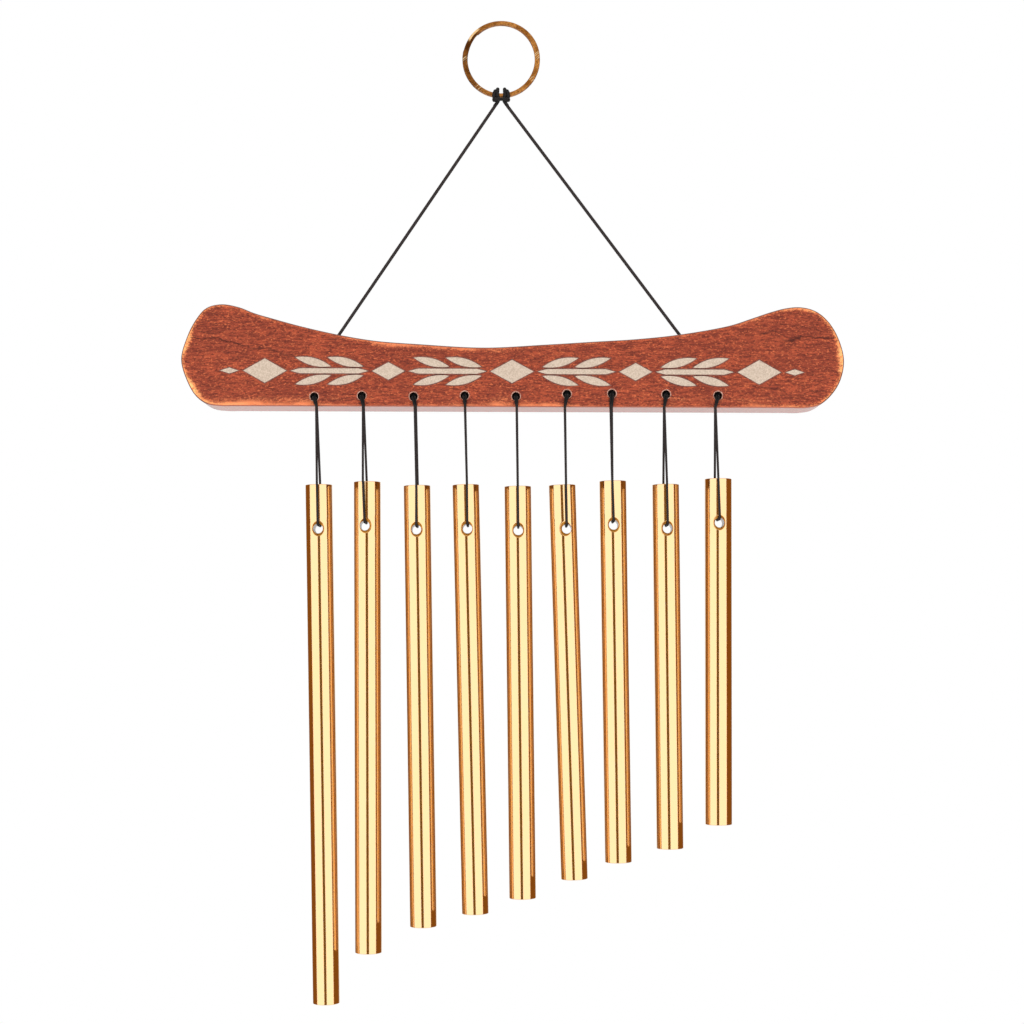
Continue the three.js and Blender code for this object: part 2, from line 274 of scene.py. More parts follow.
def smoothCurve(corners, steps, closed):
    # curve through the corners: on each stretch a cubic whose end slopes come from the three-point
    # rule with square-root spacing; an open one is carried on past its ends for those slopes
    corners = np.asarray(corners, float)
    if closed:
        line = np.concatenate([corners[-1:], corners, corners[:2]])
    else:
        line = np.concatenate([2 * corners[:1] - corners[1:2], corners, 2 * corners[-1:] - corners[-2:-1]])
    before, here, after, beyond = line[:-3], line[1:-2], line[2:-1], line[3:]
    spacing = lambda a, b: np.sqrt(np.linalg.norm(b - a, axis=1))[:, None]
    first, second, third = spacing(before, here), spacing(here, after), spacing(after, beyond)
    slopeHere = (here - before) / first - (after - before) / (first + second) + (after - here) / second
    slopeAfter = (after - here) / second - (beyond - here) / (second + third) + (beyond - after) / third
    slopeHere, slopeAfter = (slopeHere * second)[:, None], (slopeAfter * second)[:, None]
    t = np.linspace(0, 1, steps, endpoint=False)[None, :, None]
    here, after = here[:, None], after[:, None]
    curve = (here + slopeHere * t + (3 * (after - here) - 2 * slopeHere - slopeAfter) * t**2
             + (2 * (here - after) + slopeHere + slopeAfter) * t**3)
    return curve.reshape(-1, corners.shape[1])


def lengthsAlong(points):
    # the way from the first point to each, summed from point to point
    return np.concatenate([[0], np.cumsum(np.linalg.norm(np.diff(points, axis=0), axis=1))])


def evenly(points, step):
    # the same line with its points a fixed step apart
    along = lengthsAlong(points)
    at = np.linspace(0, along[-1], int(np.ceil(along[-1] / step)) + 1)
    return np.stack([np.interp(at, along, points[:, axis]) for axis in range(points.shape[1])], axis=1)


def bentRun(corners, radii, arcSteps=16):
    # straight runs between corners, with a round bend of its own radius at each inner corner
    corners = np.asarray(corners, float)
    runs = [corners[:1]]
    for before, corner, after, radius in zip(corners[:-2], corners[1:-1], corners[2:], radii):
        back, on = unit(before - corner), unit(after - corner)
        half = math.acos(np.clip(back @ on, -1, 1)) / 2
        centre = corner + unit(back + on) * radius / math.sin(half)
        start = corner + back * radius / math.tan(half) - centre
        end = corner + on * radius / math.tan(half) - centre
        whole = math.pi - 2 * half
        share = np.linspace(0, 1, arcSteps)[:, None]
        runs.append(centre + (np.sin((1 - share) * whole) * start + np.sin(share * whole) * end)
                    / math.sin(whole))
    runs.append(corners[-1:])
    return np.concatenate(runs)


def besides(path):
    # two directions across the path at each point, carried along it without twist
    forward = unit(np.gradient(path, axis=0))
    first = np.empty_like(path)
    start = np.eye(3)[np.argmin(np.abs(forward[0]))]
    side = unit(start - (start @ forward[0]) * forward[0])
    for index, direction in enumerate(forward):
        side = side - (side @ direction) * direction
        side /= math.sqrt(side @ side)
        first[index] = side
    return first, np.cross(forward, first), forward


braid = {"power": 0.7, "capTurns": (75, 50, 25)}  # the turns in degrees round the end's half ball


def braidedTube(path, across, sides, carriers, pitch, depth):
    # circles carried along the path; the radius rises where either of two opposite families of
    # helices passes and falls between them, and both ends close in a half ball
    first, second, forward = besides(path)
    turn = np.linspace(0, 2 * math.pi, sides, endpoint=False)[None, :]
    wave = 2 * math.pi * lengthsAlong(path)[:, None] / pitch
    lift = np.maximum(np.cos(carriers * turn + wave), np.cos(carriers * turn - wave))
    lift = (0.5 + 0.5 * lift) ** braid["power"]
    radius = across / 2 * (1 - depth + depth * lift)
    cosine, sine = np.cos(turn)[..., None], np.sin(turn)[..., None]
    spokes = radius[..., None] * (cosine * first[:, None] + sine * second[:, None])
    bends = np.radians(braid["capTurns"])[:, None, None]
    reach = across / 2 * (1 - depth)
    head = path[0] - forward[0] * reach * np.sin(bends) + spokes[0] * np.cos(bends)
    tail = path[-1] + forward[-1] * reach * np.sin(bends[::-1]) + spokes[-1] * np.cos(bends[::-1])
    rows = np.concatenate([head, path[:, None] + spokes, tail])
    tips = [path[0] - forward[0] * reach, path[-1] + forward[-1] * reach]
    lifts = np.concatenate([np.repeat(lift[:1], len(bends), 0), lift, np.repeat(lift[-1:], len(bends), 0)])
    return capped(rows, tips) + (np.append(lifts, [0.5, 0.5]),)


# Cords

cordLook = {"across": 1.22, "carriers": 4, "pitch": 1.1, "depth": 0.1, "sides": 16, "step": 0.13}
loopLook = {"across": 0.9, "carriers": 3, "pitch": 0.8, "depth": 0.1, "sides": 12, "step": 0.1}

cordFinish, shade = finishOf("braidedCord")
lift = shade.attribute("lift")
fuzz = shade.noise(shade.place(), 2600.0, 2.0)
up = shade.parts(shade.place())[2]
# painted shade in the braid: darker in its valleys and lighter on its crowns, with random fuzz
cordColour = shade.mix((lift * 0.8 + fuzz * 0.5 - 0.25).clamped(), (9, 7, 7), (46, 38, 36))
# painted shade: darker where the strands are packed in the hitch or pressed on the bar's front, and a little
# darker on all loops
hitchShade = up.rise(-0.0312, -0.0290)
pressedShade = up.rise(-0.1432, -0.1412) * (1.0 - up.rise(-0.128, -0.124))
loops = 1.0 - up.rise(-0.124, -0.120)
dark = ((hitchShade + pressedShade).clamped() * 0.72 + loops * 0.25).clamped()
cordColour = shade.mix(dark, cordColour, (3, 3, 3))
shade.surface(Base_Color=cordColour, Roughness=0.6, Specular_IOR_Level=0.22, Sheen_Weight=0.08,
              Sheen_Roughness=0.4, Normal=shade.bump(fuzz, 0.00004, 0.6))

barPlace = {"centreX": 4.0, "drop": 142.8, "tilt": 0.2, "length": 246.8, "height": 37.9, "front": -2.5,
            "back": 15.5, "curveSteps": 40, "outlineStep": 0.8, "upperFrom": 0.3}


def fromBar(points):
    # from the bar's own frame, X along it from its middle and Z up from its underside
    points = np.asarray(points, float) @ leanTurn(-barPlace["tilt"])
    return points + [barPlace["centreX"], 0, -barPlace["drop"]]


def cordPiece(name, path, look):
    points, faceSets, lifts = braidedTube(path, look["across"], look["sides"], look["carriers"],
                                          look["pitch"], look["depth"])
    return makePiece(name, points, faceSets, [cordFinish], creaseAngle=180, values={"lift": lifts})


# the bar's outline in shares of its length from the middle and of its height, walked round from
# the left end of the underside
outlineShares = [
    [-0.4388, 0], [-0.4603, 0.0211], [-0.4765, 0.095], [-0.4899, 0.2401], [-0.4992, 0.4565],
    [-0.4907, 0.6728], [-0.4781, 0.8391], [-0.4619, 0.9604], [-0.4396, 1], [-0.4133, 0.9736],
    [-0.3886, 0.9129], [-0.3635, 0.8654], [-0.3201, 0.7889], [-0.2618, 0.7045], [-0.2066, 0.6464],
    [-0.141, 0.6148], [-0.0425, 0.5831], [0.0515, 0.6148], [0.1207, 0.6438], [0.1896, 0.6728],
    [0.2524, 0.7177], [0.3282, 0.8074], [0.363, 0.8813], [0.3906, 0.942], [0.4145, 0.9815],
    [0.4364, 0.9894], [0.4583, 0.9499], [0.4777, 0.8443], [0.4927, 0.6781], [0.5008, 0.4644],
    [0.4947, 0.2612], [0.4806, 0.1187], [0.4627, 0.0264], [0.4412, 0], [0.415, 0], [0, 0], [-0.415, 0],
]
outline = np.array(outlineShares) * [barPlace["length"], barPlace["height"]]
outline = smoothCurve(outline, barPlace["curveSteps"], closed=True)
outline = evenly(np.concatenate([outline, outline[:1]]), barPlace["outlineStep"])[:-1]


def topHeight(x):
    # the outline's height over x, read from its part above a share of the bar's height
    upper = outline[outline[:, 1] > barPlace["upperFrom"] * barPlace["height"]]
    return float(np.interp(x, *upper[np.argsort(upper[:, 0])].T))


# V of cord: a straight leg from the hitch to each entry on the bar's top, ending inside the bar

hangerV = {"exitX": 2.36, "exitZ": -30.245, "entryX": [-64.81, 62.61], "buried": 4.0}

for side, word, entryX in zip((-1, 1), ("left", "right"), hangerV["entryX"]):
    entry = fromBar([entryX, 0, topHeight(entryX)])
    start = np.array([side * hangerV["exitX"], 0, hangerV["exitZ"]])
    path = evenly(np.array([start, entry]), cordLook["step"])
    leg = cordPiece("hanger_leg_" + word, path, cordLook)
    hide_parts("hanger_cord_" + word)
    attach(leg, "hanger")
    buried = fromBar([[entryX, 0, topHeight(entryX)], [entryX, 0, topHeight(entryX) - hangerV["buried"]]])
    end = cordPiece("hanger_tip_" + word, evenly(buried, cordLook["step"]), cordLook)
    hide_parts("hanger_end_" + word)
    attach(end, "bar")
print("hanger cord made")


# Loops: from the plug in the bar's hole down the bar's front and over its lower edge, down the rod's
# front, through its cross bore, up its back, and side by side with itself back to the plug

# rod length; x and z of the hole; x of the seam, where the strands cross the bar's lower edge; x and drop
# of the bore; the bore's place beside the rod's axis; lean in degrees; the strands' turn about each
# other at the seam in degrees, and their sideways places at the rod's top
chimeKeys = ("rod", "hole", "seam", "bore", "beside", "lean", "turn", "top")
chimeTable = [dict(zip(chimeKeys, row)) for row in (
    (192.5, (-73.6, 3.6), -72.6, (-71.5, 45.5), -0.15, 0.83, 80, (-0.2, -0.1)),
    (174.8, (-55.9, 4.0), -55.2, (-53.7, 44.4), -0.7, 0.15, 74, (-1.23, -0.64)),
    (163.7, (-36.6, 3.8), -35.9, (-35.02, 45.8), -0.3, 0.83, 64, (0.0, 0.0)),
    (159.2, (-17.6, 4.2), -17.4, (-16.78, 45.5), 0.35, 1.28, 84, (0.55, 0.3)),
    (152.9, (1.5, 4.0), 1.8, (2.37, 46.1), 0.0, 0.68, 84, (0.0, 0.0)),
    (146.3, (20.5, 4.9), 19.7, (19.18, 45.6), 1.1, 1.79, 84, (1.3, 1.6)),
    (141.5, (37.2, 5.1), 36.9, (37.71, 44.1), -0.1, 0.85, 62, (-0.4, 0.1)),
    (135.1, (57.4, 4.9), 56.6, (57.31, 45.4), 0.25, 0.7, 84, (0.1, -0.35)),
    (128.3, (76.7, 4.5), 75.6, (76.66, 43.3), 0.1, 0.08, 84, (-0.5, -0.6)),
)]
rodShape = {"radius": 5.0, "boreDrop": 16.4, "bore": 1.8, "flare": 2.8, "flareDepth": 0.75, "edge": 0.2,
            "edgeRows": 6, "endRings": (4.4, 2.0), "rows": (2, 24)}
loopShape = {"rest": 0.04, "pairGap": 0.02, "sag": 0.35, "overTop": 0.4, "sway": 4.5, "bend": 1.36,
             "edgeBend": 2.5, "topBend": 3.0, "plugIn": 1.3, "seamBlend": 0.9}


def boreMiddle(chime):
    # where the rod hangs: the middle of its bore, on the rod's axis
    across, drop = chime["bore"]
    return np.array([barPlace["centreX"] + across, hangY, -barPlace["drop"] - drop])


def loopPath(chime):
    # straight runs with round bends: plug, bar's front, its lower edge, rod's top, mouth and middle of
    # the bore, once for the front strand and once, turned round, for the back one
    cord, rest = loopLook["across"] / 2, loopShape["rest"]
    outer = math.copysign(1, chime["bore"][0])
    faceY = barPlace["front"] - rest - cord
    holeX, holeZ = chime["hole"][0], chime["hole"][1] - loopShape["sag"]
    boreX, _, boreZ = boreMiddle(chime)
    mouthX = boreX + chime["beside"]
    sway = abs(chime["beside"]) * math.sin(math.radians(loopShape["sway"]))
    mouthZ = boreZ + rodShape["bore"] - rest - cord - sway
    rise = rodShape["boreDrop"] * math.tan(math.radians(chime["lean"]))
    turn = math.radians(chime["turn"])
    pair = cord + loopShape["pairGap"]
    bends = [loopShape[key] for key in ("bend", "edgeBend", "topBend", "bend")]
    runs = []
    for side, topX in zip((-1, 1), chime["top"]):
        off = -side * outer * pair
        skinY = hangY + side * (rodShape["radius"] + rest + cord)
        plug = fromBar([holeX + off, barPlace["front"] + loopShape["plugIn"], holeZ])
        corner = fromBar([holeX + off, faceY, holeZ])
        edge = fromBar([chime["seam"] + off * math.cos(turn), faceY - pair * math.sin(turn) * (1 - side), 0])
        top = [boreX - rise + topX, skinY, boreZ + rodShape["boreDrop"] + loopShape["overTop"]]
        mouth, middle = [mouthX, skinY, mouthZ], [mouthX, hangY, mouthZ]
        runs.append(bentRun([plug, corner, edge, top, mouth, middle], bends))
    return evenly(np.concatenate([runs[0], runs[1][::-1][1:]]), loopLook["step"])


for number, chime in enumerate(chimeTable, 1):
    path = loopPath(chime)
    loop = cordPiece("loop_cord_%d" % number, path, loopLook)
    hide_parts("loop_top_%d" % number, "loop_%d" % number)
    seam = fromBar([chime["seam"], hangY, 0])
    above, below = seam + [0, 0, loopShape["seamBlend"]], seam - [0, 0, loopShape["seamBlend"]]
    "loop_%d" % number
    above * mm
    below * mm
    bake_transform(loop)
print("loops made")


# Split ring: one flat wire that runs round in two touching turns and steps from the front layer to
# the back one over a ramp, in degrees from the right. It is a little wider at its left and right.

ringShape = {"middle": 13.5, "centreZ": -12.87, "radial": 1.45, "wire": 1.06, "layer": 0.55,
             "sideways": 0.5, "rampFrom": 135, "rampTo": 165, "power": 0.5, "steps": 560, "sides": 28,
             "taperSteps": 3, "tip": 0.2}


def ringPiece(finish):
    # a rounded oblong carried round the circle: both its places are the cosine and sine of the turn
    # round it, raised to a power; the layer eases across the ramp and both ends close like a quarter
    # circle
    ramp = ringShape["rampTo"] - ringShape["rampFrom"]
    steps, taper, turns = ringShape["steps"], ringShape["taperSteps"], 720 - ramp
    along = np.linspace(0, turns, steps)
    angle = np.radians(ringShape["rampTo"] + along)
    step = np.clip((along - 360 + ramp) / ramp, 0, 1)
    layer = ringShape["layer"] * (2 * step * step * (3 - 2 * step) - 1)
    ends = np.minimum(along, turns - along) / turns * steps
    closing = np.sqrt(np.clip(1 - (1 - ends / taper) ** 2, ringShape["tip"], 1))
    size = np.where(ends < taper, closing, 1.0)[:, None]
    around = np.linspace(0, 2 * math.pi, ringShape["sides"], endpoint=False)[None, :]
    wide = ringShape["radial"] + ringShape["sideways"] * np.cos(angle)[:, None] ** 2
    reach = ringShape["middle"] + wide / 2 * squarer(np.cos(around), ringShape["power"]) * size
    across = ringShape["wire"] / 2 * squarer(np.sin(around), ringShape["power"]) * size
    grid = np.stack([reach * np.cos(angle)[:, None], layer[:, None] + across,
                     ringShape["centreZ"] + reach * np.sin(angle)[:, None]], axis=-1)
    points, faceSets = capped(grid, [grid[0].mean(0), grid[-1].mean(0)])
    values = {"along": np.append(np.repeat(along, ringShape["sides"]), [0, turns])}
    return makePiece("ring_wire", points, faceSets, [finish], 35, values=values)


ringFinish, shade = finishOf("oldBrass")
place = shade.place()
across, _, up = shade.parts(place)
up = up - ringShape["centreZ"] * mm
reach = (across * across + up * up) ** 0.5
rolled = {"X": reach, "Y": shade.attribute("along") * 0.00004}
scratch = shade.noise(shade.node("ShaderNodeCombineXYZ", inputs=rolled), 5200.0, 2.0)
cloud = shade.noise(place, 300.0, 3.0)
slant = shade.noise(shade.node("ShaderNodeCombineXYZ", inputs={"X": across * -0.62 + up * 0.78}), 2100.0, 1.0)
# painted shade on the ring's left side and round a spot at its upper left, and a painted highlight along the
# outer edge near that spot
left = (across * -1.0).rise(0.004, 0.0125)
around = lambda x, z: ((across - x * mm) ** 2.0 + (up - z * mm) ** 2.0) ** 0.5
lit = (1.0 - around(-10.1, 9.1).rise(1.9 * mm, 3.4 * mm)) * reach.rise(13.4 * mm, 13.65 * mm)
shaded = 1.0 - around(-11.3, 6.9).rise(2.8 * mm, 4.6 * mm)
brass = shade.mix(cloud.rise(0.3, 0.7), (152, 94, 38), (210, 144, 74))
brass = shade.mix(scratch.rise(0.45, 0.62) * 0.7, brass, (104, 58, 20))
brass = shade.mix(left * (0.35 + cloud.rise(0.4, 0.55) * 0.5), brass, (84, 44, 12))
brass = shade.mix(shaded * 0.8, brass, (80, 42, 12))
brass = shade.mix(lit * 0.9, brass, (252, 210, 150))
# painted glints: bright slanting lines at spots given as (sideways, up, half length) in mm from the ring's
# middle
for glintX, glintUp, half in ((-13.3, -0.4, 1.8), (13.6, 1.4, 1.9), (-8.2, -10.6, 1.6), (11.4, -7.2, 1.4)):
    glint = (1.0 - around(glintX, glintUp).rise(half * 0.5 * mm, half * mm)) * slant.rise(0.5, 0.6)
    brass = shade.mix(glint * 0.7, brass, (255, 224, 170))
shade.surface(Base_Color=brass, Metallic=1.0, Roughness=0.3 + cloud * 0.15,
              Normal=shade.bump(scratch, 0.00003, 0.5))
ring = ringPiece(ringFinish)
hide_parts("split_ring")
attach(ring, "ring")


# Hitch: a lark's head. Each leg comes up in front of the wire and winds round it nearly twice, over
# the top and down the back, and a bridge joins the two sides below the wire, in front of the legs.

hitchShape = {"across": 1.36, "reach": 13.4, "halfY": 1.72, "halfZ": 1.52, "lift": 0.44, "sink": -0.2,
              "under": 0.3, "power": 0.62, "bridge": (-2.95, -2.1), "lobePower": 3, "firstLobe": 200,
              "step": 10.0, "curveSteps": 6}
hitchTurns = {  # way along the ring at each angle round it, from the front over the top
    "angle": [-15, 0, 90, 180, 270, 330, 360, 450, 540, 630],
    "along": [1.25, 1.38, 1.55, 1.65, 1.95, 2.5, 2.64, 2.08, 2.5, 2.32]}
# way along the ring, place across it and height of the leg below the winding and of the way on to
# the bridge
hitchLeg = [[1.823, 0, -3.975], [1.35, -0.12, -3.0], [0.93, -0.8, -2.15], [0.98, -1.45, -1.4],
            [1.14, -hitchShape["halfY"], -0.8]]
hitchEnd = [[2.38, -1.0, -2.0], [2.2, -2.1, -2.25], [1.3, -2.85, -2.25]]


def onRing(points):
    # from the way along the wire, place across the layers and height to the bent ring's own place
    angle = points[:, 0] / hitchShape["reach"]
    reach = hitchShape["reach"] - points[:, 2]
    return np.stack([reach * np.sin(angle), points[:, 1],
                     ringShape["centreZ"] - reach * np.cos(angle)], axis=1)


def hitchLine():
    # winding: cosine and sine of the angle, raised to a power, with a higher first lobe and a lower
    # second one; the other side is its mirror image
    angle = np.arange(hitchTurns["angle"][0], hitchTurns["angle"][-1] + 1, hitchShape["step"])
    cosine, sine = np.cos(np.radians(angle)), np.sin(np.radians(angle))
    size = np.where(angle < hitchShape["firstLobe"], hitchShape["lift"], hitchShape["sink"])
    lobe = 1 + sine.clip(0) ** hitchShape["lobePower"] * size
    halfZ = np.where(sine < 0, hitchShape["halfZ"] + hitchShape["under"], hitchShape["halfZ"])
    winding = np.stack([np.interp(angle, hitchTurns["angle"], hitchTurns["along"]),
                        -hitchShape["halfY"] * squarer(cosine, hitchShape["power"]),
                        halfZ * squarer(sine, hitchShape["power"]) * lobe], axis=1)
    side = np.concatenate([hitchLeg, winding[1:], hitchEnd])
    line = np.concatenate([side * [-1, 1, 1], [[0, *hitchShape["bridge"]]], side[::-1]])
    return smoothCurve(onRing(line), hitchShape["curveSteps"], closed=False)


hitchLook = {**cordLook, "across": hitchShape["across"]}
hitch = cordPiece("hitch_cord", evenly(hitchLine(), hitchLook["step"]), hitchLook)
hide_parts("ring_hitch")
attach(hitch, "hitch")
print("ring and hitch made")


# Bar: a flat front and back in the outline drawn in by the edge's round, joined by quarter rounds
# and the straight side; nine blind holes in the front, each with a small bevel

barSkin = {"round": 0.6, "roundSteps": 8, "sideRows": 7, "hole": 1.52, "holeSides": 40, "bevel": 0.35,
           "holeDepth": 11.0, "lattice": 1.5, "borderClear": 0.6, "clear": 0.5, "open": 0.99}
lacquered, sunk = -9.0, 9.0  # stand in for the distance on the back and in the holes
front, back = barPlace["front"], barPlace["back"]


def insetOutline(amount):
    # each point moved inward, square to the line through its two neighbours; the outline is walked
    # clockwise as seen from the front
    along = np.roll(outline, -1, axis=0) - np.roll(outline, 1, axis=0)
    return outline + unit(np.stack([along[:, 1], -along[:, 0]], axis=1)) * amount


def insideOf(border, points):
    # a point is inside where a line from it to the right crosses the border an odd number of times
    a, b = border, np.roll(border, -1, axis=0)
    crosses = (a[None, :, 1] > points[:, None, 1]) != (b[None, :, 1] > points[:, None, 1])
    rise = np.where(b[:, 1] == a[:, 1], 1e-9, b[:, 1] - a[:, 1])
    at = a[None, :, 0] + (points[:, None, 1] - a[None, :, 1]) / rise * (b[:, 0] - a[:, 0])
    return np.sum(crosses & (points[:, None, 0] < at), axis=1) % 2 == 1


def flatFace(border, circles, depth):
    # triangles of the face between the border and the circles, through a lattice of inner points that
    # keeps clear of the border by a share of its own step; a triangle whose middle lies in a circle goes
    xs = np.arange(border[:, 0].min(), border[:, 0].max(), barSkin["lattice"])
    zs = np.arange(border[:, 1].min(), border[:, 1].max(), barSkin["lattice"])
    lattice = np.stack(np.meshgrid(xs, zs), axis=-1).reshape(-1, 2)
    gap = np.linalg.norm(lattice[:, None] - border[None, ::2], axis=2).min(axis=1)
    keep = insideOf(border, lattice) & (gap > barSkin["borderClear"] * barSkin["lattice"])
    reaches = [(circle.mean(axis=0), np.linalg.norm(circle[0] - circle.mean(axis=0))) for circle in circles]
    for middle, reach in reaches:
        keep &= np.linalg.norm(lattice - middle, axis=1) > reach + barSkin["clear"]
    loops = [border] + list(circles)
    starts = np.cumsum([0] + [len(loop) for loop in loops])
    edges = [(start + i, start + (i + 1) % len(loop)) for start, loop in zip(starts, loops)
             for i in range(len(loop))]
    points = [tuple(point) for point in np.concatenate(loops + [lattice[keep]])]
    placed, _, faces, *_ = delaunay_2d_cdt(points, edges, [], 0, 1e-7)
    placed, faces = np.array([tuple(point) for point in placed]), np.array([list(face) for face in faces])
    middles = placed[faces].mean(axis=1)
    solid = insideOf(border, middles)
    for middle, reach in reaches:
        solid &= np.linalg.norm(middles - middle, axis=1) > reach * barSkin["open"]
    return np.insert(placed, 1, depth, axis=1), faces[solid]


def barParts():
    # shells with the distance of each point from the bar's sharp front line, measured over the skin,
    # and the finish of each: 0 wood, 1 rim of a hole, 2 wall of a hole
    edge = barSkin["round"]
    parts = []
    turn = np.linspace(0, quarter, barSkin["roundSteps"])
    inset, depth = edge * (1 - np.sin(turn)), edge * (1 - np.cos(turn))
    rows = list(zip(inset, front + depth, edge * (quarter - turn)))
    straight = np.linspace(front + edge, back - edge, barSkin["sideRows"] + 2)[1:-1]
    rows += [(0, y, front + edge - y) for y in straight]
    rows += [(amount, back - down, lacquered) for amount, down in zip(inset[::-1], depth[::-1])]
    grid = np.array([np.insert(insetOutline(amount), 1, y, axis=1) for amount, y, _ in rows])
    rim = np.repeat([distance for _, _, distance in rows], len(outline))
    parts.append((grid.reshape(-1, 3), gridFaces(len(rows), len(outline), wrap=True), rim, 0))
    border = insetOutline(edge)
    sides = barSkin["holeSides"]
    around = 2 * math.pi * np.arange(sides) / sides
    circle = np.stack([np.cos(around), np.sin(around)], axis=1)
    middles = [np.array(chime["hole"]) for chime in chimeTable]
    narrow, wide = barSkin["hole"], barSkin["hole"] + barSkin["bevel"]
    mouths = [middle + circle * wide for middle in middles]
    for circles, depth in ((mouths, front), ([], back)):
        points, faces = flatFace(border, circles, depth)
        gap = np.linalg.norm(points[:, None, [0, 2]] - border[None], axis=2).min(axis=1)
        parts.append((points, faces, gap + edge * quarter if depth == front else gap * 0 + lacquered, 0))
    places = ((wide, front), (narrow, front + barSkin["bevel"]), (narrow, front + barSkin["holeDepth"]),
              (0, front + barSkin["holeDepth"]))
    band, fan = gridFaces(2, sides, wrap=True), fanFaces(np.arange(sides), sides)
    for middle in middles:
        bevel, step, floor, centre = [np.insert(middle + circle * reach, 1, y, axis=1) for reach, y in places]
        for rows, faces, slot in (((bevel, step), band, 1), ((step, floor), band, 2),
                                  ((floor, centre[:1]), fan, 2)):
            points = np.concatenate(rows)
            parts.append((points, faces, np.full(len(points), sunk), slot))
    return parts


woodFinish, shade = finishOf("stainedWood")
place = shade.place()
across, _, up = shade.parts(place)
edge = shade.attribute("edge")
lengthwise = lambda share, *noise: shade.noise(shade.stretched(place, (share, 1.0, 1.0)), *noise)
grain = lengthwise(0.16, 1300.0, 5.0, 0.65, 0.5)
pores = lengthwise(0.35, 2900.0, 2.0, 0.6)
fleck = lengthwise(0.5, 1900.0, 4.0, 0.7, 0.5)
cloud = lengthwise(0.4, 90.0, 4.0, 0.6)
wander = (lengthwise(0.5, 220.0, 3.0) - 0.5) * 0.007
crackTable = [
    # from and to in mm along and up the bar, half width, and strength
    ((-123, 26.0), (-98, 22.6), 0.5, 1.0), ((-101, 22.8), (-80, 18.6), 0.5, 0.7),
    ((-120, 28.6), (-106, 27.0), 0.4, 0.6), ((90, 28.6), (112, 25.6), 0.45, 0.8),
    ((99, 25.7), (124, 26.4), 0.5, 1.0), ((96, 30.6), (119, 29.2), 0.35, 0.5),
    ((86, 9.2), (106, 4.4), 0.5, 0.6), ((102, 5.6), (120, 5.2), 0.4, 0.6),
    ((-62, 15.6), (-38, 14.6), 0.4, 0.4),
]
crack = None
for (x0, z0), (x1, z1), half, strength in crackTable:
    (x0, _, z0), (x1, _, z1) = fromBar([x0, 0, z0]) * mm, fromBar([x1, 0, z1]) * mm
    slope = (z1 - z0) / (x1 - x0)
    off = abs(up + wander - (across * slope + (z0 - slope * x0)))
    ends = across.rise(x0 - 0.001, x0 + 0.004) * (1.0 - across.rise(x1 - 0.004, x1 + 0.002))
    line = (1.0 - off / (half * mm)).clamped() * ends * strength
    crack = line if crack is None else crack.atLeast(line)
stain = shade.mix(grain.rise(0.38, 0.62), (106, 40, 24), (158, 68, 40))
stain = shade.mix(cloud.rise(0.38, 0.68) * 0.6, stain, (108, 40, 25))
stain = shade.mix(fleck.rise(0.53, 0.66) * 0.62, stain, (218, 114, 68))
stain = shade.mix(pores.rise(0.52, 0.64) * 0.8, stain, (76, 27, 18))
stain = shade.mix((crack * (0.5 + fleck)).clamped() * 0.9, stain, (52, 17, 13))
# worn band along the front's edge, wider and paler at the bar's ends
ends = abs(across - barPlace["centreX"] * mm).rise(0.088, 0.12)
reach = 0.0006 + cloud.rise(0.42, 0.68) * 0.0012 + ends * 0.0004
ragged = edge + (fleck - 0.5) * 0.0075
bare = (1.0 - (ragged / reach).rise(0.6, 1.5)) * edge.rise(0.0006, 0.0009)
bare = bare * (0.3 + ends * 0.5 + cloud.rise(0.35, 0.65) * 0.5)
worn = shade.mix(ends, (240, 152, 104), (250, 194, 122))
pale = shade.mix(fleck.rise(0.38, 0.6), (222, 116, 68), worn)
stain = shade.mix(bare.clamped(), stain, pale)
# lighter patches low on the front
low = (1.0 - up.rise(-0.1412, -0.1380)) * edge.rise(0.0006, 0.0010)
glow = low * cloud.rise(0.48, 0.62) * fleck.rise(0.44, 0.56)
stain = shade.mix(glow * 0.55, stain, (232, 132, 82))
# lacquered sides: dark on top; lighter at the lower corner and underneath is painted light
side = 1.0 - edge.rise(0.0005, 0.0008)
below = 1.0 - up.rise(-0.1426, -0.1408)
underside = below * (1.0 - edge.rise(-0.0005, 0.0002))
corner = shade.mix(below, (84, 38, 22), (178, 92, 62))
lacquerAndPaintedLight = shade.mix(underside, corner, (204, 120, 100))
stain = shade.mix(side * 0.85, stain, lacquerAndPaintedLight)
shade.surface(Base_Color=stain, Roughness=0.5 + fleck * 0.2, Specular_IOR_Level=0.18,
              Coat_Weight=side * 0.75, Coat_Roughness=0.2, Coat_IOR=1.85,
              Normal=shade.bump(grain * 0.4 + pores - crack * 1.5, 0.00014, 0.6))

rimFinish = speckled("holeRim", (2400.0, 3.0), (0.35, 0.65), (150, 96, 76), (206, 164, 146), (0.00005, 0.5),
                     Roughness=0.6)
wallFinish, shade = finishOf("holeWall")
fibre = shade.noise(shade.place(), 1800.0, 3.0)
shade.surface(Base_Color=shade.mix(fibre, (24, 14, 10), (52, 30, 22)), Roughness=0.9,
              Specular_IOR_Level=0.1)

parts = barParts()
slots = np.concatenate([np.full(len(faces), slot) for _, faces, _, slot in parts])
points, faceSets = joined([(points, [faces]) for points, faces, _, _ in parts])
distances = np.concatenate([distance for _, _, distance, _ in parts])
bar = makePiece("bar_wood", fromBar(points), faceSets, [woodFinish, rimFinish, wallFinish], 50,
                slots, {"edge": distances * mm})
weld(bar)
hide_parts("bar")
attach(bar, "bar")
print("bar made")


# Knots in the bar's holes: a ball, longer into the hole, with the braid's relief wound round it

knotShape = {"reach": 1.46, "relief": 0.07, "long": 1.25, "tip": 1.82, "deep": 2.7, "sides": 48, "rows": 24,
             "strands": 3, "winds": 5}


